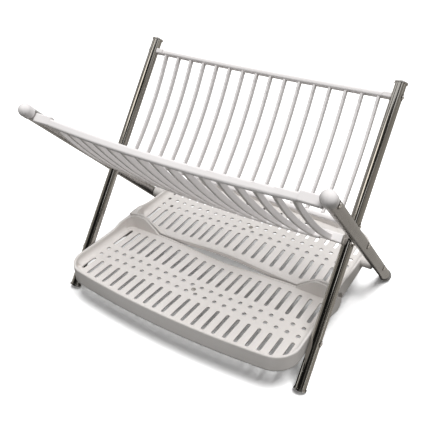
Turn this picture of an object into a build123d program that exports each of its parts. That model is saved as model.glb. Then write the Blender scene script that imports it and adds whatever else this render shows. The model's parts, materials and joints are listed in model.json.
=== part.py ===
from build123d import *
import os
from math import asin, cos, degrees, radians, sin, sqrt

# A folding dish rack. Two leaning tube frames cross like an X and each carries a slatted
# rack above the crossing. Two perforated trays hinge to each other below the crossing and
# hold the frames apart. All lengths are in millimetres and angles in degrees.
# X runs across the rack, the front is at -Y, Z points up from the floor.

os.makedirs("parts", exist_ok=True)

# Side view of the frame
crossing_y = -11.35
long_lean = 53.2
long_foot_reach = 209.8
long_top_reach = 221.0
arm_top_reach = 202.8
arm_foot_reach = 231.9
foot_flat = 0.8

# Tubes
long_tube_diameter = 16.0
arm_tube_diameter = 17.6
tube_wall = 1.0
long_tube_spacing = 409.0
crossing_gap = 1.0

# End caps
flange_diameter = 18.5
flange_thickness = 2.0
cap_dome_diameter = 16.0
cap_dome_height = 2.5
cap_plug_depth = 14.0
ball_diameter = 19.0
ball_skirt = 9.0
arm_foot_diameter = 20.0
arm_foot_skirt = 8.0
tube_seat_depth = 2.0
socket_saddle_depth = 1.2

# Racks: the two rails and the slats between them bow outward
back_top_rail = 201.0
back_bottom_rail = 20.6
front_top_rail = 186.4
front_bottom_rail = 0.0
rack_offset = 4.3
rail_height = 8.0
rail_depth = 11.0
rail_rounding = 3.2
rail_bow = 6.0
slat_count = 16
slat_end_margin = 6.0
slat_thickness = 4.0
slat_depth = 9.0
slat_rounding = 1.2
slat_bow = 6.5

# Sockets that join the rails to the tubes
socket_depth = 13.0
socket_offset = 2.5
socket_rounding = 2.0
socket_length = 10.5
short_rail_socket_length = 30.9

# Rivets, washers and pins
rivet_shank = 4.0
rivet_head = 6.6
rivet_head_height = 1.9
rivet_grip = 12.0
washer_diameter = 12.0
hinge_pin_diameter = 5.0
running_clearance = 0.05
side_clearance = 0.3

# Trays, measured outward from the joint between them and up from the deck
front_pivot = 143.2
back_pivot = 152.2
hinge_y = -3.8
hinge_z = 40.4
front_deck_z = 52.6
back_deck_z = 54.8
front_tilt = 0.0
back_tilt = 2.6
tray_side_gap = 0.9
tray_reach = 171.0
outer_edge_radius = 1355.0
tray_corner_radius = 38.0
rim_wall = 4.0
rim_rounding_share = 0.45
skirt_depth = 11.5
joint_wall_depth = 6.5
joint_gap = 0.4
inner_corner_radius = 11.0
shoulder_reach = 28.0
pivot_boss_diameter = 18.0
deck_thickness = 2.2

# The decks bow at the joint, down on the front tray and up on the back one, which leaves
# a finger gap between them, and flatten toward the outer edge
front_bow = -7.2
back_bow = 7.5
bow_reach_share = 0.8
front_deck_rise = 0.0
back_deck_rise = 4.8

# Tops of the walls above the joint line: the corner walls' crests, then the side walls
front_crest = 24.0
back_crest = 22.0
front_side_near = 19.0
back_side_near = 20.0
front_rim_height = 14.0
back_rim_height = 14.7
front_ramp_end = 58.0
back_ramp_end = 130.0
ramp_start = 30.0
corner_wall_run = 6.0
joint_lip_height = 0.5
joint_lip_margin = 65.6
rise_margin = 48.6
rise_share = 0.62
crest_margin = 33.6
crest_fall = 0.3

# Ears of the front tray and lugs of the back tray, on the hinge line
ear_centre_y = 8.65
ear_radius = 11.0
ear_root = 30.0
ear_top_height = 8.0
ear_room_gap = 1.5
ear_pocket_depth = 2.0
pin_end_gap = 0.1
lug_radius = 5.5
lug_start = 4.0
lug_run = 25.0
lug_overlap = 1.5
lug_notch_height = 5.0
lug_notch_width = 9.0
lug_notch_depth = 16.5

# Drain openings of the decks
column_count = 22
column_margin = 17.1
slot_width = 5.6
hole_diameter = 6.4
inner_slot_start = 18.2
inner_slot_end_share = 0.357
hole_shares = (0.45, 0.554)
outer_slot_start_share = 0.651
outer_slot_margin = 19.5

# Sizes that follow from the ones above
flange_radius = flange_diameter / 2
arm_foot_radius = arm_foot_diameter / 2
crossing_z = long_foot_reach * sin(radians(long_lean)) + flange_radius * cos(radians(long_lean)) - foot_flat
arm_lean = degrees(asin((crossing_z + foot_flat - arm_foot_radius) / arm_foot_reach))
long_x = long_tube_spacing / 2
arm_x = long_x + long_tube_diameter / 2 + crossing_gap + arm_tube_diameter / 2
long_inner_x = long_x - long_tube_diameter / 2
long_outer_x = long_x + long_tube_diameter / 2
arm_inner_x = arm_x - arm_tube_diameter / 2
arm_outer_x = arm_x + arm_tube_diameter / 2
rail_half_length = long_inner_x - socket_length
short_rail_half_length = long_inner_x - 2 * side_clearance - short_rail_socket_length
slat_pitch = 2 * (rail_half_length - slat_end_margin) / (slat_count - 1)
tray_half_width = long_inner_x - tray_side_gap
back_neck_half_width = tray_half_width - rim_wall - side_clearance
pivot_boss_end = arm_inner_x - 2 * side_clearance
front_setback = front_crest * sin(radians(front_tilt)) + joint_gap / 2
back_setback = back_crest * sin(radians(back_tilt)) + joint_gap / 2
rim_rounding = rim_rounding_share * rim_wall
crest_x = tray_half_width - crest_margin
rise_x = tray_half_width - rise_margin
joint_lip_x = tray_half_width - joint_lip_margin
bow_reach = bow_reach_share * tray_reach
ear_room_radius = ear_centre_y - hinge_y + ear_radius + ear_room_gap
column_pitch = 2 * (tray_half_width - column_margin) / (column_count - 1)
beyond = 2 * (long_foot_reach + arm_foot_reach)

sides = (("left", -1), ("right", 1))

# Work planes. In a frame's plane X runs across, Y up the tube and Z outward from the rack.
# In a tray's plane X runs across, Y outward from the joint and Z up from the deck.
crossing = Vector(0, crossing_y, crossing_z)
long_normal = (0, sin(radians(long_lean)), -cos(radians(long_lean)))
arm_normal = (0, -sin(radians(arm_lean)), -cos(radians(arm_lean)))
back_frame = Plane(crossing, x_dir=(-1, 0, 0), z_dir=long_normal)
front_frame = Plane(crossing, x_dir=(1, 0, 0), z_dir=arm_normal)
front_up = (0, sin(radians(front_tilt)), cos(radians(front_tilt)))
back_up = (0, -sin(radians(back_tilt)), cos(radians(back_tilt)))
front_tray = Plane((0, 0, front_deck_z), x_dir=(-1, 0, 0), z_dir=front_up)
back_tray = Plane((0, 0, back_deck_z), x_dir=(1, 0, 0), z_dir=back_up)


def on_frame(frame, reach):
    """Point on the tubes' line at this reach above the crossing."""
    return frame.from_local_coords(Vector(0, reach, 0))


def across(side, point):
    """Plane whose Z axis runs outward along X through a side view point."""
    return Plane((0, point.Y, point.Z), x_dir=(0, 1, 0), z_dir=(side, 0, 0))


def rod(axis, diameter, start, end):
    """Round bar on a plane's Z axis from start to end."""
    return axis * Pos(0, 0, (start + end) / 2) * Cylinder(diameter / 2, end - start)


def dome(diameter, height):
    """Low dome that stands on the XY plane."""
    radius = diameter / 2
    ball_radius = (radius ** 2 + height ** 2) / (2 * height)
    ball = Pos(0, 0, height - ball_radius) * Sphere(ball_radius)
    return ball & rod(Plane.XY, diameter, 0, height)


def post(frame, side, x, reach):
    """Plane on a tube's axis at this reach, with Z pointing up the tube."""
    up = frame.y_dir
    origin = on_frame(frame, reach) + Vector(side * x, 0, 0)
    return Plane(origin, x_dir=(1, 0, 0), z_dir=up)


def above_floor(piece):
    """Piece with its part under the floor cut off flat."""
    return piece - Pos(0, 0, -beyond / 2) * Box(2 * beyond, beyond, beyond)


# Tubes

def long_tube(side):
    axis = post(back_frame, side, long_x, 0)
    start = flange_thickness - long_foot_reach
    end = long_top_reach - flange_thickness
    tube = rod(axis, long_tube_diameter, start, end)
    tube -= rod(axis, long_tube_diameter - 2 * tube_wall, start, end)
    for reach in (back_top_rail, back_bottom_rail, -front_pivot):
        tube -= rod(across(side, on_frame(back_frame, reach)), rivet_shank, long_inner_x, long_outer_x)
    bore = rivet_shank + 2 * running_clearance
    return tube - rod(across(side, crossing), bore, long_inner_x, long_outer_x)


def arm_tube(side):
    axis = post(front_frame, side, arm_x, 0)
    start = tube_seat_depth - arm_foot_reach
    end = arm_top_reach - tube_seat_depth
    tube = rod(axis, arm_tube_diameter, start, end)
    tube -= rod(axis, arm_tube_diameter - 2 * tube_wall, start, end)
    for reach in (front_top_rail, 0, -back_pivot):
        tube -= rod(across(side, on_frame(front_frame, reach)), rivet_shank, arm_inner_x, arm_outer_x)
    return tube


# End caps

def flanged_cap(seat):
    """Plug, flange and low dome; the seat plane's Z axis points out of the tube."""
    plug = rod(seat, long_tube_diameter - 2 * tube_wall, -cap_plug_depth, 0)
    flange = rod(seat, flange_diameter, 0, flange_thickness)
    return plug + flange + seat * Pos(0, 0, flange_thickness) * dome(cap_dome_diameter, cap_dome_height)


def long_cap(side):
    return flanged_cap(post(back_frame, side, long_x, long_top_reach - flange_thickness))


def long_foot(side):
    seat = post(back_frame, side, long_x, flange_thickness - long_foot_reach)
    return above_floor(flanged_cap(seat * Rot(180, 0, 0)))


def round_cap(centre, diameter, skirt):
    """Ball over a tube's end; the centre plane's Z axis points out of the tube."""
    cap = centre * Sphere(diameter / 2) + rod(centre, diameter, -skirt, 0)
    return cap - rod(centre, arm_tube_diameter, -diameter, -tube_seat_depth)


def arm_ball(side):
    return round_cap(post(front_frame, side, arm_x, arm_top_reach), ball_diameter, ball_skirt)


def arm_foot(side):
    centre = post(front_frame, side, arm_x, -arm_foot_reach) * Rot(180, 0, 0)
    return above_floor(round_cap(centre, arm_foot_diameter, arm_foot_skirt))


# Racks

def bowed_band(half_chord, bow, depth):
    """Strip of even depth along X, bowed toward +Y."""
    low = -depth / 2
    high = depth / 2
    near = ThreePointArc((-half_chord, low), (0, low + bow), (half_chord, low))
    far = ThreePointArc((half_chord, high), (0, high + bow), (-half_chord, high))
    return make_face([near, Line(near @ 1, far @ 0), far, Line(far @ 1, near @ 0)])


def bow_at(x):
    """Outward bow of a rail at this distance from the middle."""
    radius = (rail_half_length ** 2 + rail_bow ** 2) / (2 * rail_bow)
    return rail_bow - radius + sqrt(radius ** 2 - x ** 2)


def rail(frame, reach, half_length):
    rise = rail_bow - bow_at(half_length)
    face = bowed_band(half_length, rise, rail_depth)
    bar = Plane.XZ * extrude(face, rail_height / 2, both=True)
    bar = fillet(bar.edges().filter_by(GeomType.CIRCLE), rail_rounding)
    return frame * Pos(0, reach, rack_offset + bow_at(half_length)) * bar


def slats(frame, low_reach, high_reach):
    """One bowed slat for each plate gap side, standing between the two rails."""
    half_chord = (high_reach - low_reach - rail_height) / 2
    face = bowed_band(half_chord, slat_bow, slat_depth)
    slat = Plane.YZ * extrude(face, slat_thickness / 2, both=True)
    slat = fillet(slat.edges().filter_by(GeomType.CIRCLE), slat_rounding)
    middle = (low_reach + high_reach) / 2
    xs = [(index - (slat_count - 1) / 2) * slat_pitch for index in range(slat_count)]
    return Compound([frame * Pos(x, middle, rack_offset + bow_at(x)) * slat for x in xs])


def socket_block(frame, side, reach, start, end):
    """Rounded block that carries on a rail's end toward the tube."""
    block = Box(end - start, rail_height, socket_depth)
    block = fillet(block.edges().filter_by(Axis.X), socket_rounding)
    x = side * frame.x_dir.X * (start + end) / 2
    return frame * Pos(x, reach, socket_offset) * block


def back_socket(side, reach):
    block = socket_block(back_frame, side, reach, rail_half_length, long_x)
    block -= rod(post(back_frame, side, long_x, reach), long_tube_diameter, -rail_depth, rail_depth)
    shank = rod(across(side, on_frame(back_frame, reach)), rivet_shank, long_inner_x - rivet_grip / 2, long_x)
    return block - shank


def front_top_socket(side):
    point = across(side, on_frame(front_frame, front_top_rail))
    end = arm_inner_x + socket_saddle_depth
    socket = socket_block(front_frame, side, front_top_rail, rail_half_length, end)
    socket -= rod(post(front_frame, side, arm_x, front_top_rail), arm_tube_diameter, -rail_depth, rail_depth)
    return socket - rod(point, rivet_shank, arm_inner_x - rivet_grip, arm_x)


def front_bottom_socket(side):
    end = long_inner_x - 2 * side_clearance
    socket = socket_block(front_frame, side, front_bottom_rail, short_rail_half_length, end)
    return socket - rod(across(side, crossing), rivet_shank, end - rivet_grip, end)


# Rivets, washers and pins

def rivet(side, point, inner_end, seat):
    """Dome-headed rivet along X, with its head seated on a tube's outer face."""
    axis = across(side, point)
    head = axis * Pos(0, 0, seat) * dome(rivet_head, rivet_head_height)
    return rod(axis, rivet_shank, inner_end, seat) + head


def back_rack_rivet(side, reach):
    return rivet(side, on_frame(back_frame, reach), long_inner_x - rivet_grip / 2, long_outer_x)


def front_rack_rivet(side):
    return rivet(side, on_frame(front_frame, front_top_rail), arm_inner_x - rivet_grip, arm_outer_x)


def crossing_rivet(side):
    return rivet(side, crossing, long_inner_x - 2 * side_clearance - rivet_grip, arm_outer_x)


def crossing_washer(side):
    """Spacer that sits on the long tube and leaves the arm free to turn."""
    axis = across(side, crossing)
    washer = rod(axis, washer_diameter, long_x, arm_inner_x - side_clearance)
    washer -= rod(axis, rivet_shank + 2 * running_clearance, long_x, arm_inner_x)
    return washer - rod(post(back_frame, side, long_x, 0), long_tube_diameter, -rail_depth, rail_depth)


def front_tray_rivet(side):
    return rivet(side, on_frame(back_frame, -front_pivot), tray_half_width - rim_wall, long_outer_x)


def back_tray_rivet(side):
    """Stops short of the tray's boss, which it only faces."""
    return rivet(side, on_frame(front_frame, -back_pivot), pivot_boss_end + side_clearance, arm_outer_x)


def hinge_axis(side):
    return across(side, Vector(0, hinge_y, hinge_z))


def hinge_pin(side):
    end = tray_half_width - rim_wall + ear_pocket_depth - pin_end_gap
    return rod(hinge_axis(side), hinge_pin_diameter, back_neck_half_width - rim_wall, end)


# Trays

def edge_at(x):
    """Distance from the joint to the outer edge of a tray, at this place across."""
    straight = tray_reach - outer_edge_radius + sqrt(outer_edge_radius ** 2 - x ** 2)
    corner_x = tray_half_width - tray_corner_radius
    if x <= corner_x:
        return straight
    corner = tray_reach - outer_edge_radius + sqrt(outer_edge_radius ** 2 - corner_x ** 2) - tray_corner_radius
    return corner + sqrt(tray_corner_radius ** 2 - (x - corner_x) ** 2)


def tray_outline(half_width, setback, inset):
    """Plan of a tray: straight joint and sides, and a bowed outer edge with round corners."""
    x = half_width - inset
    radius = outer_edge_radius - inset
    far = tray_reach - inset
    side_end = far - radius + sqrt(radius ** 2 - x ** 2)
    near = setback + inset
    edge = ThreePointArc((-x, side_end), (0, far), (x, side_end))
    walls = Polyline(edge @ 1, (x, near), (-x, near), edge @ 0)
    face = make_face([edge, *walls.edges()])
    return fillet(face.vertices().sort_by(Axis.Y)[-2:], tray_corner_radius - inset)


def tray_block(half_width, setback, inset):
    """Full-height block with a tray's outline, shrunk by the inset."""
    face = tray_outline(half_width, setback, inset)
    if inset > 0:
        face = fillet(face.vertices().sort_by(Axis.Y)[:2], inner_corner_radius)
    return Pos(0, 0, -skirt_depth) * extrude(face, skirt_depth + front_crest)


def front_block(inset):
    return tray_block(tray_half_width, front_setback, inset)


def ear_room():
    """Space beside the back tray's joint end in which the front tray's ears turn."""
    rooms = [rod(hinge_axis(side), 2 * ear_room_radius, back_neck_half_width, arm_x) for _, side in sides]
    return back_tray.to_local_coords(rooms[0] + rooms[1])


def back_outer_block():
    return tray_block(tray_half_width, back_setback, 0) - ear_room()


def back_inner_block():
    """Inside of the back tray, which is narrower between the ears than behind them."""
    neck = tray_block(back_neck_half_width, back_setback, rim_wall)
    behind_ears = Pos(0, shoulder_reach + beyond / 2) * Box(beyond, beyond, beyond)
    return neck + (tray_block(tray_half_width, back_setback, rim_wall) & behind_ears)


def bowed_line(bow, height):
    """Edges across a tray that are level at the sides and bow between the lips' ends."""
    ends = [(side * joint_lip_x, height) for side in (-1, 1)]
    middle = Spline(ends[0], (0, height + bow), ends[1], tangents=((1, 0), (1, 0)))
    left = Line((-arm_x, height), ends[0])
    right = Line(ends[1], (arm_x, height))
    return [left, middle, right]


def over_side_walls(near_height, far_height, ramp_end):
    """Space above the side and outer walls, which ramp up a little toward the joint."""
    high = (ramp_start, near_height)
    low = (ramp_end, far_height)
    ramp = Spline(high, low, tangents=((1, -crest_fall), (1, 0)))
    above = Polyline(low, (beyond, far_height), (beyond, beyond), (corner_wall_run, beyond),
                     (corner_wall_run, near_height), high)
    return extrude(Plane.YZ * make_face([ramp, *above.edges()]), beyond, both=True)


def over_joint_wall(bow, crest, near_height):
    """Space above the joint wall, a bowed lip that rises to a crest near each corner."""
    lip = Spline((-joint_lip_x, joint_lip_height), (0, joint_lip_height + bow), (joint_lip_x, joint_lip_height),
                 tangents=((1, 0), (1, 0)))
    side_x = tray_half_width - rim_wall
    edges = [lip]
    for side in (-1, 1):
        rise = (side * rise_x, rise_share * crest)
        end = (side * side_x, near_height)
        points = (lip @ (1 if side > 0 else 0), rise, (side * crest_x, crest), end)
        edges.append(Spline(*points, tangents=((side, 1), (side, -crest_fall))))
    top = Polyline((side_x, near_height), (beyond, near_height), (beyond, beyond), (-beyond, beyond),
                   (-beyond, near_height), (-side_x, near_height))
    face = Plane.XZ * make_face([*edges, *top.edges()])
    return extrude(face, 4 * rim_wall, both=True)


def under_joint_wall(bow):
    """Space below the joint wall, whose lower edge follows the bow of the deck."""
    low = -joint_wall_depth
    lip = Spline((-joint_lip_x, low), (0, low + bow), (joint_lip_x, low), tangents=((1, 0), (1, 0)))
    below = Polyline(lip @ 1, (rise_x, -skirt_depth), (beyond, -skirt_depth), (beyond, -beyond),
                     (-beyond, -beyond), (-beyond, -skirt_depth), (-rise_x, -skirt_depth), lip @ 0)
    face = Plane.XZ * make_face([lip, *below.edges()])
    return extrude(face, 4 * rim_wall, both=True)


def rim(walls, bow, crest, near_height, far_height, ramp_end):
    """A tray's walls cut to their heights, with a soft outer rim."""
    walls = walls - over_side_walls(near_height, far_height, ramp_end)
    walls = walls - over_joint_wall(bow, crest, near_height) - under_joint_wall(bow)
    return fillet(walls.edges().filter_by_position(Axis.Z, far_height, far_height), rim_rounding)


def side_plate(points, centre, radius, start):
    """Plates on both sides in the tray's wall, round at one end, from a side view outline."""
    edges = [*Line(*points).edges(), *(Pos(*centre) * Circle(radius)).edges()]
    hull = make_hull(edges)
    plates = [extrude(Plane.YZ.offset(x) * hull, rim_wall) for x in (start, -start - rim_wall)]
    return plates[0] + plates[1]


def front_ears():
    """Lobes that reach past the joint, outside the back tray's walls."""
    foot = front_tray.from_local_coords(Vector(0, ear_root, -skirt_depth))
    top = front_tray.from_local_coords(Vector(0, front_setback, ear_top_height))
    points = ((foot.Y, foot.Z), (top.Y, top.Z))
    return side_plate(points, (ear_centre_y, hinge_z), ear_radius, tray_half_width - rim_wall)


def back_lugs():
    """Lugs that reach under the front tray to the hinge line, inside its ears."""
    lift = lug_overlap - skirt_depth
    near = back_tray.from_local_coords(Vector(0, lug_start, lift))
    far = back_tray.from_local_coords(Vector(0, lug_run, lift))
    points = ((near.Y, near.Z), (far.Y, far.Z))
    return side_plate(points, (hinge_y, hinge_z), lug_radius, back_neck_half_width - rim_wall)


def lug_notches():
    """Room under the front tray's joint wall for the back tray's lugs, in tray space."""
    height = beyond / 2
    notch = Box(lug_notch_width, 2 * lug_notch_depth, height)
    x = tray_half_width - rim_wall - lug_notch_width / 2
    z = -lug_notch_height - height / 2
    return Pos(-x, 0, z) * notch + Pos(x, 0, z) * notch


def front_tray_rim():
    walls = front_block(0) - front_block(rim_wall)
    walls = rim(walls, front_bow, front_crest, front_side_near, front_rim_height, front_ramp_end)
    shell = front_tray * (walls - lug_notches()) + front_ears()
    for _, side in sides:
        pocket = tray_half_width - rim_wall + ear_pocket_depth
        bore = hinge_pin_diameter + 2 * running_clearance
        shell -= rod(hinge_axis(side), bore, back_neck_half_width, pocket)
        pivot = across(side, on_frame(back_frame, -front_pivot))
        bore = rivet_shank + 2 * running_clearance
        shell -= rod(pivot, bore, tray_half_width - 2 * rim_wall, tray_half_width)
    return shell


def back_tray_rim():
    walls = back_outer_block() - back_inner_block()
    walls = rim(walls, back_bow, back_crest, back_side_near, back_rim_height, back_ramp_end)
    shell = back_tray * walls + back_lugs()
    for _, side in sides:
        pivot = across(side, on_frame(front_frame, -back_pivot))
        shell += rod(pivot, pivot_boss_diameter, tray_half_width - rim_wall / 2, pivot_boss_end)
        shell -= rod(hinge_axis(side), hinge_pin_diameter, back_neck_half_width - rim_wall, back_neck_half_width)
    return shell


def drain_slot(x, start, end):
    """Slot along the tray with its end centres at start and end."""
    middle = (start + end) / 2
    return Pos(x, middle) * Rot(0, 0, 90) * SlotCenterToCenter(end - start, slot_width)


def drain_openings():
    """Straight rows of long slots, two rows of round holes, and slots up to the outer edge."""
    openings = []
    last = (column_count - 1) / 2 * column_pitch
    for column in range(column_count):
        x = column * column_pitch - last
        openings.append(drain_slot(x, inner_slot_start, inner_slot_end_share * tray_reach))
        for share in hole_shares:
            openings.append(Pos(x, share * tray_reach) * Circle(hole_diameter / 2))
        openings.append(drain_slot(x, outer_slot_start_share * tray_reach, edge_at(abs(x)) - outer_slot_margin))
    return openings


def deck_section(reach, bow, height):
    """Upright section across a deck at this reach from the joint."""
    top = bowed_line(bow, height)
    bottom = bowed_line(bow, height - deck_thickness)
    ends = [Line(bottom[0] @ 0, top[0] @ 0), Line(bottom[-1] @ 1, top[-1] @ 1)]
    return Plane((0, reach, 0), x_dir=(1, 0, 0), z_dir=(0, -1, 0)) * make_face([*top, *bottom, *ends])


def deck(inner, bow, rise):
    """Perforated floor that fills a rim, flush with its inner faces."""
    near = deck_section(0, bow, 0)
    flat = deck_section(bow_reach, 0, rise * bow_reach_share)
    far = deck_section(tray_reach, 0, rise)
    slab = loft([near, flat], ruled=True) + loft([flat, far], ruled=True)
    cutters = extrude(Sketch(children=drain_openings()), beyond, both=True)
    return (inner & slab) - cutters


def front_tray_deck():
    return front_tray * deck(front_block(rim_wall), front_bow, front_deck_rise)


def back_tray_deck():
    return back_tray * deck(back_inner_block(), back_bow, back_deck_rise)


def pieces():
    """Every piece of the rack by its node name."""
    made = {
        "back_rack_top_rail": rail(back_frame, back_top_rail, rail_half_length),
        "back_rack_bottom_rail": rail(back_frame, back_bottom_rail, rail_half_length),
        "back_rack_slats": slats(back_frame, back_bottom_rail, back_top_rail),
        "front_rack_top_rail": rail(front_frame, front_top_rail, rail_half_length),
        "front_rack_bottom_rail": rail(front_frame, front_bottom_rail, short_rail_half_length),
        "front_rack_slats": slats(front_frame, front_bottom_rail, front_top_rail),
        "front_tray_deck": front_tray_deck(),
        "front_tray_rim": front_tray_rim(),
        "back_tray_deck": back_tray_deck(),
        "back_tray_rim": back_tray_rim(),
    }
    for name, side in sides:
        made[f"long_tube_{name}"] = long_tube(side)
        made[f"long_tube_cap_{name}"] = long_cap(side)
        made[f"long_tube_foot_{name}"] = long_foot(side)
        made[f"arm_tube_{name}"] = arm_tube(side)
        made[f"arm_ball_cap_{name}"] = arm_ball(side)
        made[f"arm_foot_{name}"] = arm_foot(side)
        made[f"back_rack_top_socket_{name}"] = back_socket(side, back_top_rail)
        made[f"back_rack_bottom_socket_{name}"] = back_socket(side, back_bottom_rail)
        made[f"front_rack_top_socket_{name}"] = front_top_socket(side)
        made[f"front_rack_bottom_socket_{name}"] = front_bottom_socket(side)
        made[f"back_rack_top_rivet_{name}"] = back_rack_rivet(side, back_top_rail)
        made[f"back_rack_bottom_rivet_{name}"] = back_rack_rivet(side, back_bottom_rail)
        made[f"front_rack_rivet_{name}"] = front_rack_rivet(side)
        made[f"crossing_rivet_{name}"] = crossing_rivet(side)
        made[f"crossing_washer_{name}"] = crossing_washer(side)
        made[f"front_tray_rivet_{name}"] = front_tray_rivet(side)
        made[f"back_tray_rivet_{name}"] = back_tray_rivet(side)
        made[f"tray_hinge_pin_{name}"] = hinge_pin(side)
    return made


for node, solid in pieces().items():
    solid.label = node
    export_step(solid, f"parts/{node}.step")
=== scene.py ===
import json
from math import cos, radians, sin

import bmesh
import bpy
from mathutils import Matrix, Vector
from mathutils.bvhtree import BVHTree


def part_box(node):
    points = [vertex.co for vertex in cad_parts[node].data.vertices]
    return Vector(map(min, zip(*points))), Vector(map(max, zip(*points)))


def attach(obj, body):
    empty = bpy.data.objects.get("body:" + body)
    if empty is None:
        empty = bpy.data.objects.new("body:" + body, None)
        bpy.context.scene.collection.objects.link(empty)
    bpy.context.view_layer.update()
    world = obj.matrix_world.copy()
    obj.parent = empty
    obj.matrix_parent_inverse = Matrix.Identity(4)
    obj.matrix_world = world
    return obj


# Looks of a folding dish rack: chrome and grey tube frames, white slatted racks and two
# perforated white trays. All lengths are in metres.

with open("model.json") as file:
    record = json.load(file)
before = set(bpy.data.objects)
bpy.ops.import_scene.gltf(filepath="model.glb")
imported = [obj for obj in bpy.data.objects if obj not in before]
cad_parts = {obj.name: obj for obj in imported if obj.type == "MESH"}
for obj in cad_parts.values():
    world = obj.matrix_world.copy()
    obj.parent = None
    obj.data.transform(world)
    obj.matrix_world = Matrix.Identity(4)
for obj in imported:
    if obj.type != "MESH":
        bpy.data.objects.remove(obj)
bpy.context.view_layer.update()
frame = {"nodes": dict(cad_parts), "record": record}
scene = bpy.context.scene
scene.view_settings.view_transform = "Standard"

# Camera at the photograph's viewing angle
camera_place = (0.39666, -0.63013, 0.61201)
camera_turn = (58.3536, 0.4749, 32.6224)
camera_sensor = 36
camera_lens = 47.905
camera_shift = (-0.00602, -0.02105)

# Studio
world_level = 0.33
floor_size = 12.0
# Floor colours: for the light it throws back, and where it is seen, reflected or seen through
floor_bounce = (0.06, 0.06, 0.055, 1)
floor_white = (1.5, 1.5, 1.5, 1)
sun_direction = (0.25, -0.07, 0.96)
sun_spread = 34
sun_strength = 2.75
card_reach = 1.3
card_centre_height = 0.15

# Reflection cards: azimuth from and to, elevation from and to in degrees, and brightness
cards = (
    ("card_left", 140, 200, -12, 28, 0.35),
    ("card_front_left", -160, -130, -4, 30, 0.28),
    ("card_front", -130, -64, -4, 41, 0.012),
    ("card_line", -64, -52, -4, 26, 0.16),
    ("card_front_right", -52, -33, -4, 38, 0.03),
    ("card_beside", -33, -8, -4, 18, 0.22),
    ("card_beside_high", -33, 10, 18, 42, 0.3),
    ("card_right", -8, 95, -16, 18, 0.38),
    ("card_bright", -140, -106, 38, 54, 2.1),
    ("card_dark_left", -165, -140, 30, 54, 0.12),
    ("card_above", -106, -33, 41, 60, 0.04),
)
# Flags just over the floor that only reflections see, painting a dimmer floor into them and
# near-black shade under the rack: x from and to, y from and to, and brightness
flags = (
    ("flag_right", 0.22, 1.4, -0.6, 1.3, 0.45),
    ("flag_behind", -0.7, 0.22, 0.17, 1.3, 0.4),
    ("flag_left", -0.9, -0.24, -0.5, 0.17, 0.4),
    ("flag_below", -0.24, 0.22, -0.2, 0.17, 0.05),
)
flag_rise = 0.002
card_tint = (1.0, 0.95, 0.87)
card_steps = 12

# Near-black rings round the rivets, painted shade of the pressed dimples that the heads sit in:
# the rivet, the tube it sits in and the body of both
rivet_nodes = (
    ("crossing_rivet", "arm_tube", "front_frame"),
    ("front_rack_rivet", "arm_tube", "front_frame"),
    ("back_tray_rivet", "arm_tube", "front_frame"),
    ("back_rack_top_rivet", "long_tube", "back_frame"),
    ("back_rack_bottom_rivet", "long_tube", "back_frame"),
    ("front_tray_rivet", "long_tube", "back_frame"),
)
collar_inner = 0.0031
collar_outer = 0.0049
collar_height = 0.0006
collar_sink = 0.0002
collar_steps = 40
collar_rounds = 5

# Gate marks, where the trays were filled in moulding: distance from the hinge line
gate_places = (("front", "front_tray", -0.0866), ("back", "back_tray", 0.0877))
gate_radius = 0.0037
gate_ridge = 0.0007
gate_sink = 0.0003
gate_steps = 36
# Shares of the radius and of the ridge's height, from the edge to the middle
gate_shares = ((0.97, 0.6), (0.86, 1.0), (0.74, 0.7), (0.62, 0.12), (0.35, 0.08), (0.04, 0.25))

# Plastic: noise scales, where its two colours lie on the noise, shares of the roughness that
# it varies between, and strength and depth of the bump
flow_scale = 9.0
flow_stops = (0.35, 0.75)
polish_scale = 40.0
polish_shares = (0.8, 1.25)
grain_scale = 900.0
grain_detail = 2.0
grain_strength = 0.12
grain_depth = 0.0002
edge_samples = 6

# Metal: the same values
smudge_scale = 14.0
smudge_stops = (0.3, 0.8)
wear_scale = 60.0
wear_shares = (0.7, 1.5)
drawing_scale = 350.0
drawing_detail = 4.0
drawing_strength = 0.05
drawing_depth = 0.0001

# Coves between the tray decks and their walls: cross-section, and the search for deck and wall
cove_radius = 0.0075
cove_sink = 0.0004
cove_steps = 8
cove_spacing = 0.003
cove_inset = 0.012
cove_search = 0.03
cove_edge = 0.002
cove_probe = 0.0105
smooth_angle = 40
above_trays = 0.1

# Line of a tray's walls seen from above: half the width, the corners' bend, how far the far
# wall reaches from the hinge line and bows back at its ends, and where the side walls begin
wall_line = 0.189
corner_bend = 0.036
corner_steps = 18
far_reach = 0.1655
far_radius = 1.351
far_sag = 0.0115
side_start = 0.014


def add_camera():
    data = bpy.data.cameras.new("camera")
    data.sensor_width = camera_sensor
    data.lens = camera_lens
    data.shift_x, data.shift_y = camera_shift
    camera = bpy.data.objects.new("camera", data)
    camera.location = camera_place
    camera.rotation_euler = [radians(angle) for angle in camera_turn]
    scene.collection.objects.link(camera)
    scene.camera = camera


def add_sun():
    """Broad soft light from high above the rack and a little to its right."""
    data = bpy.data.lights.new("sun", "SUN")
    data.energy = sun_strength
    data.angle = radians(sun_spread)
    sun = bpy.data.objects.new("sun", data)
    sun.rotation_euler = Vector(sun_direction).to_track_quat("Z", "Y").to_euler()
    sun.visible_glossy = False
    scene.collection.objects.link(sun)


def add_glow(name, mesh, brightness):
    """Panel that only reflections see, such as a flag or card beside the set."""
    panel = bpy.data.objects.new(name, mesh)
    panel.visible_camera = False
    panel.visible_diffuse = False
    panel.visible_shadow = False
    scene.collection.objects.link(panel)
    material = bpy.data.materials.new(name)
    material.use_nodes = True
    nodes, links = material.node_tree.nodes, material.node_tree.links
    nodes.clear()
    glow = nodes.new("ShaderNodeEmission")
    glow.inputs["Color"].default_value = (*card_tint, 1)
    glow.inputs["Strength"].default_value = brightness
    out = nodes.new("ShaderNodeOutputMaterial")
    links.new(glow.outputs[0], out.inputs[0])
    mesh.materials.append(material)


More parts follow.
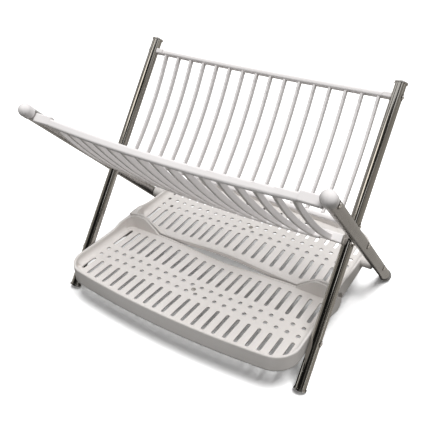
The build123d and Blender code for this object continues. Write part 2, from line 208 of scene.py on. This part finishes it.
def add_card(name, start, end, low, high, brightness):
    """Curved card that stands round the rack."""
    mesh = bpy.data.meshes.new(name)
    points = []
    for step in range(card_steps + 1):
        angle = radians(start + (end - start) * step / card_steps)
        for rise in (low, high):
            height = card_reach * sin(radians(rise)) + card_centre_height
            reach = card_reach * cos(radians(rise))
            points.append((reach * cos(angle), reach * sin(angle), height))
    faces = [(2 * i, 2 * i + 2, 2 * i + 3, 2 * i + 1) for i in range(card_steps)]
    mesh.from_pydata(points, [], faces)
    add_glow(name, mesh, brightness)


def add_flag(name, left, right, front, back, brightness):
    """Flat flag just above the floor, a painted reflection of the floor there."""
    mesh = bpy.data.meshes.new(name)
    places = ((left, front), (right, front), (right, back), (left, back))
    corners = [(x, y, flag_rise) for x, y in places]
    mesh.from_pydata(corners, [], [(0, 1, 2, 3)])
    add_glow(name, mesh, brightness)


def seen_directly(nodes, links):
    """One where a camera, glossy or transmission ray meets the surface, and zero elsewhere."""
    path = nodes.new("ShaderNodeLightPath")
    total = None
    for output in ("Is Camera Ray", "Is Glossy Ray", "Is Transmission Ray"):
        if total is None:
            total = path.outputs[output]
            continue
        larger = nodes.new("ShaderNodeMath")
        larger.operation = "MAXIMUM"
        links.new(total, larger.inputs[0])
        links.new(path.outputs[output], larger.inputs[1])
        total = larger.outputs[0]
    return total


def add_world():
    world = bpy.data.worlds.new("studio")
    world.use_nodes = True
    scene.world = world
    nodes, links = world.node_tree.nodes, world.node_tree.links
    nodes.clear()
    light = nodes.new("ShaderNodeBackground")
    light.inputs["Strength"].default_value = world_level
    white = nodes.new("ShaderNodeBackground")
    mix = nodes.new("ShaderNodeMixShader")
    out = nodes.new("ShaderNodeOutputWorld")
    light.inputs["Color"].default_value = (1, 1, 1, 1)
    white.inputs["Color"].default_value = (1, 1, 1, 1)
    links.new(seen_directly(nodes, links), mix.inputs[0])
    links.new(light.outputs[0], mix.inputs[1])
    links.new(white.outputs[0], mix.inputs[2])
    links.new(mix.outputs[0], out.inputs[0])


def add_floor():
    half = floor_size / 2
    mesh = bpy.data.meshes.new("floor")
    corners = [(-half, -half, 0), (half, -half, 0), (half, half, 0), (-half, half, 0)]
    mesh.from_pydata(corners, [], [(0, 1, 2, 3)])
    floor = bpy.data.objects.new("floor", mesh)
    scene.collection.objects.link(floor)
    material = bpy.data.materials.new("floor_white")
    material.use_nodes = True
    nodes, links = material.node_tree.nodes, material.node_tree.links
    nodes.clear()
    diffuse = nodes.new("ShaderNodeBsdfDiffuse")
    mix = nodes.new("ShaderNodeMix")
    mix.data_type = "RGBA"
    mix.inputs["A"].default_value = floor_bounce
    mix.inputs["B"].default_value = floor_white
    out = nodes.new("ShaderNodeOutputMaterial")
    links.new(seen_directly(nodes, links), mix.inputs["Factor"])
    links.new(mix.outputs["Result"], diffuse.inputs["Color"])
    links.new(diffuse.outputs[0], out.inputs[0])
    mesh.materials.append(material)


# Materials

class Finish:
    """Principled surface whose colour, roughness and bump vary with noise in object space."""

    def __init__(self, name, roughness, metallic=0.0):
        self.material = bpy.data.materials.new(name)
        self.material.use_nodes = True
        self.nodes = self.material.node_tree.nodes
        self.links = self.material.node_tree.links
        self.shader = self.nodes["Principled BSDF"]
        self.shader.inputs["Roughness"].default_value = roughness
        self.shader.inputs["Metallic"].default_value = metallic
        self.place = self.nodes.new("ShaderNodeTexCoord").outputs["Object"]
        self.edges = None

    def noise(self, scale, detail=3.0):
        texture = self.nodes.new("ShaderNodeTexNoise")
        texture.inputs["Scale"].default_value = scale
        texture.inputs["Detail"].default_value = detail
        self.links.new(self.place, texture.inputs["Vector"])
        return texture.outputs["Fac"]

    def blend(self, factor, stops, colours):
        """Colour that runs from one to the other between two values of the factor."""
        ramp = self.nodes.new("ShaderNodeValToRGB")
        for element, stop, colour in zip(ramp.color_ramp.elements, stops, colours):
            element.position = stop
            element.color = colour
        self.links.new(factor, ramp.inputs[0])
        self.links.new(ramp.outputs[0], self.shader.inputs["Base Color"])

    def wear(self, factor, roughness, shares):
        """Roughness that varies with the factor, between two shares of the given one."""
        spread = self.nodes.new("ShaderNodeMapRange")
        spread.inputs["To Min"].default_value = roughness * shares[0]
        spread.inputs["To Max"].default_value = roughness * shares[1]
        self.links.new(factor, spread.inputs["Value"])
        self.links.new(spread.outputs[0], self.shader.inputs["Roughness"])

    def soften_edges(self, radius):
        """Rounds the shading along the edges by the given radius."""
        self.edges = self.nodes.new("ShaderNodeBevel")
        self.edges.samples = edge_samples
        self.edges.inputs["Radius"].default_value = radius

    def bump(self, height, strength, distance):
        bump = self.nodes.new("ShaderNodeBump")
        if self.edges:
            self.links.new(self.edges.outputs[0], bump.inputs["Normal"])
        bump.inputs["Strength"].default_value = strength
        bump.inputs["Distance"].default_value = distance
        self.links.new(height, bump.inputs["Height"])
        self.links.new(bump.outputs[0], self.shader.inputs["Normal"])


def plastic(name, light, dark, roughness, edge_radius):
    """Moulded plastic with faint flow marks, a fine surface grain and soft edges."""
    finish = Finish(name, roughness)
    finish.soften_edges(edge_radius)
    finish.blend(finish.noise(flow_scale), flow_stops, (light, dark))
    finish.wear(finish.noise(polish_scale), roughness, polish_shares)
    finish.bump(finish.noise(grain_scale, grain_detail), grain_strength, grain_depth)
    return finish.material


def chrome(name, light, dark, roughness):
    """Bright metal with a faint surface grain and soft smudges."""
    finish = Finish(name, roughness, metallic=1.0)
    finish.blend(finish.noise(smudge_scale), smudge_stops, (light, dark))
    finish.wear(finish.noise(wear_scale), roughness, wear_shares)
    finish.bump(finish.noise(drawing_scale, drawing_detail), drawing_strength, drawing_depth)
    return finish.material


# Metals: two colours and roughness
metals = {
    "chrome_tube": ((0.48, 0.46, 0.43, 1), (0.43, 0.41, 0.375, 1), 0.09),
    "grey_tube": ((0.42, 0.405, 0.4, 1), (0.385, 0.37, 0.36, 1), 0.24),
    "dark_chrome_cap": ((0.6, 0.58, 0.56, 1), (0.5, 0.48, 0.46, 1), 0.18),
    "rivet_steel": ((0.85, 0.82, 0.79, 1), (0.75, 0.72, 0.69, 1), 0.12),
    # Near-black metal for the rings round the rivets: painted shade of the pressed dimples round
    # their heads
    "painted_dimple_shade": ((0.12, 0.105, 0.09, 1), (0.08, 0.07, 0.06, 1), 0.3),
}
# Plastics: two colours, roughness and radius of the softened edges
tray_colours = ((0.80, 0.765, 0.74, 1), (0.765, 0.73, 0.70, 1))
plastics = {
    "grey_plastic": ((0.33, 0.32, 0.31, 1), (0.29, 0.28, 0.27, 1), 0.35, 0.0008),
    "white_plastic": ((0.9, 0.87, 0.865, 1), (0.86, 0.83, 0.825, 1), 0.35, 0.0008),
    "tray_plastic": (*tray_colours, 0.38, 0.0003),
    "rim_plastic": (*tray_colours, 0.38, 0.003),
    "gate_ring": ((0.3, 0.28, 0.25, 1), (0.26, 0.24, 0.21, 1), 0.4, 0.0003),
}


def make_materials():
    made = {name: chrome(name, *values) for name, values in metals.items()}
    made.update({name: plastic(name, *values) for name, values in plastics.items()})
    return made


def dress_cad_nodes(materials):
    """Gives each carried-over node the material of its slot, and the trays' rims softer edges."""
    for part in frame["record"]["subparts"]:
        mesh = frame["nodes"][part["node"]].data
        mesh.materials.clear()
        rim = part["node"].endswith("_rim")
        mesh.materials.append(materials["rim_plastic" if rim else part["material_slot"]])


# Small pieces

def surface(name):
    """Ray tester on a carried-over node, whose mesh is already in place."""
    mesh = frame["nodes"][name].data
    corners = [vertex.co for vertex in mesh.vertices]
    return BVHTree.FromPolygons(corners, [face.vertices for face in mesh.polygons])


def smooth_mesh(name, work):
    """Mesh with smooth faces made from the work mesh, which is freed."""
    bmesh.ops.recalc_face_normals(work, faces=work.faces)
    mesh = bpy.data.meshes.new(name)
    work.to_mesh(mesh)
    work.free()
    for face in mesh.polygons:
        face.use_smooth = True
    return mesh


def rings_mesh(name, rings, closed):
    """Mesh through rings of points, each ring joined to the next, and the last to the first
    where the row of rings is closed."""
    work = bmesh.new()
    rows = [[work.verts.new(point) for point in ring] for ring in rings]
    pairs = list(zip(rows, rows[1:]))
    if closed:
        pairs.append((rows[-1], rows[0]))
    for row, after in pairs:
        for index in range(len(row)):
            beside = (index + 1) % len(row)
            work.faces.new((row[index], row[beside], after[beside], after[index]))
    return smooth_mesh(name, work)


def add_piece(name, mesh, body, material):
    piece = bpy.data.objects.new(name, mesh)
    scene.collection.objects.link(piece)
    mesh.materials.append(material)
    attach(piece, body)


def add_dimple_shade_ring(rivet, tube, body, side, sign, material):
    """Raised ring round a rivet's head, lying on the tube's curved outer face; its near-black
    material is painted shade of the pressed dimple there.
    """
    low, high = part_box(f"{rivet}_{side}")
    face = surface(f"{tube}_{side}")
    height = (low[2] + high[2]) / 2
    depth = (low[1] + high[1]) / 2
    middle = (collar_inner + collar_outer) / 2
    half = (collar_outer - collar_inner) / 2
    rings = []
    for step in range(collar_steps):
        angle = radians(360 * step / collar_steps)
        ring = []
        for turn in range(collar_rounds + 1):
            swing = radians(180 * turn / collar_rounds)
            radius = middle + half * cos(swing)
            y = depth + radius * cos(angle)
            z = height + radius * sin(angle)
            start = Vector((sign * (abs(high[0]) + abs(low[0])), y, z))
            ground = face.ray_cast(start, Vector((-sign, 0, 0)))[0]
            ring.append(Vector((ground.x + sign * collar_height * sin(swing), y, z)))
        ring[0].x -= sign * collar_sink
        ring[-1].x -= sign * collar_sink
        rings.append(ring)
    mesh = rings_mesh(f"{rivet}_collar_{side}", rings, True)
    add_piece(mesh.name, mesh, body, material)


def add_gate_mark(side, body, place, material):
    """Raised ring round a shallow dimple in the middle of a tray's deck."""
    deck = surface(side + "_tray_deck")
    level = deck.ray_cast(Vector((0, place, above_trays)), Vector((0, 0, -1)))[0].z
    profile = [(gate_radius, level - gate_sink)]
    profile += [(gate_radius * out, level + gate_ridge * rise) for out, rise in gate_shares]
    angles = [radians(360 * step / gate_steps) for step in range(gate_steps)]
    rings = []
    for radius, height in profile:
        rings.append([
            Vector((radius * cos(angle), place + radius * sin(angle), height)) for angle in angles
        ])
    mesh = rings_mesh(side + "_tray_gate_mark", rings, False)
    add_piece(mesh.name, mesh, body, material)


# Coves

def line_points(start, end):
    """Evenly spaced points from one place to another, the last one left off."""
    count = max(1, round((end - start).length / cove_spacing))
    return [start.lerp(end, step / count) for step in range(count)]


def wall_path():
    """Points along the inside of a tray's side, far and other side wall, about evenly spaced,
    with the direction to the wall at each. The far side is to -Y."""
    far_corner = far_reach - corner_bend - far_sag
    points = line_points(Vector((-wall_line, -side_start)), Vector((-wall_line, -far_corner)))
    middle = Vector((-wall_line + corner_bend, -far_corner))
    for step in range(corner_steps):
        angle = radians(180 + 90 * step / corner_steps)
        points.append(middle + corner_bend * Vector((cos(angle), sin(angle))))
    half = wall_line - corner_bend
    count = round(half / cove_spacing)
    for step in range(count + 1):
        x = -half + half * step / count
        sag = far_radius - (far_radius ** 2 - x ** 2) ** 0.5
        points.append(Vector((x, -far_reach + sag)))
    points += [Vector((-point.x, point.y)) for point in reversed(points[:-1])]
    path = []
    for index in range(1, len(points) - 1):
        along = (points[index + 1] - points[index - 1]).normalized()
        path.append((points[index], Vector((along.y, -along.x))))
    return path


def cove_ring(deck, wall, place, outward):
    """Cross-section of the cove at one place: an arc from deck to wall, then the corner behind.
    Nothing where there is no deck or no wall."""
    out = Vector((outward.x, outward.y, 0))
    above = Vector((place.x, place.y, above_trays)) - out * cove_inset
    found = deck.ray_cast(above + out * (cove_inset - cove_edge), Vector((0, 0, -1)))[0]
    if found is None:
        return None
    level = found.z
    probe = Vector((above.x, above.y, level + cove_probe))
    hit = wall.ray_cast(probe, out, cove_search)[0]
    if hit is None:
        return None
    corner = Vector((hit.x, hit.y, level))
    centre = corner - out * cove_radius + Vector((0, 0, cove_radius))
    ring = [corner - out * cove_radius - Vector((0, 0, cove_sink))]
    for step in range(cove_steps + 1):
        angle = radians(90 * step / cove_steps)
        along = cove_radius * sin(angle)
        drop = cove_radius * cos(angle)
        ring.append(centre + out * along - Vector((0, 0, drop)))
    ring.append(corner + out * cove_sink + Vector((0, 0, cove_radius)))
    ring.append(corner + out * cove_sink - Vector((0, 0, cove_sink)))
    return ring


def add_coves(side, body, flip, material):
    """Rounded corner between a tray's deck and its walls, as in one moulding."""
    deck = surface(side + "_tray_deck")
    wall = surface(side + "_tray_rim")
    work = bmesh.new()
    previous = None
    for place, outward in wall_path():
        place = Vector((place.x, place.y * flip))
        outward = Vector((outward.x, outward.y * flip))
        points = cove_ring(deck, wall, place, outward)
        if points is None:
            if previous:
                work.faces.new(previous)
            previous = None
            continue
        ring = [work.verts.new(point) for point in points]
        if previous is None:
            work.faces.new(reversed(ring))
        else:
            for index in range(len(ring)):
                after = (index + 1) % len(ring)
                work.faces.new((previous[index], previous[after], ring[after], ring[index]))
        previous = ring
    if previous:
        work.faces.new(previous)
    mesh = smooth_mesh(side + "_tray_coves", work)
    mesh.set_sharp_from_angle(angle=radians(smooth_angle))
    add_piece(mesh.name, mesh, body, material)


add_camera()
add_world()
add_floor()
add_sun()
for card in cards:
    add_card(*card)
for flag in flags:
    add_flag(*flag)
materials = make_materials()
dress_cad_nodes(materials)
add_coves("front", "front_tray", 1, materials["tray_plastic"])
add_coves("back", "back_tray", -1, materials["tray_plastic"])
for side, body, place in gate_places:
    add_gate_mark(side, body, place, materials["gate_ring"])
# Near-black rings round the rivet heads, painted shade of the dimples they sit in
for rivet, tube, body in rivet_nodes:
    add_dimple_shade_ring(rivet, tube, body, "left", -1, materials["painted_dimple_shade"])
    add_dimple_shade_ring(rivet, tube, body, "right", 1, materials["painted_dimple_shade"])
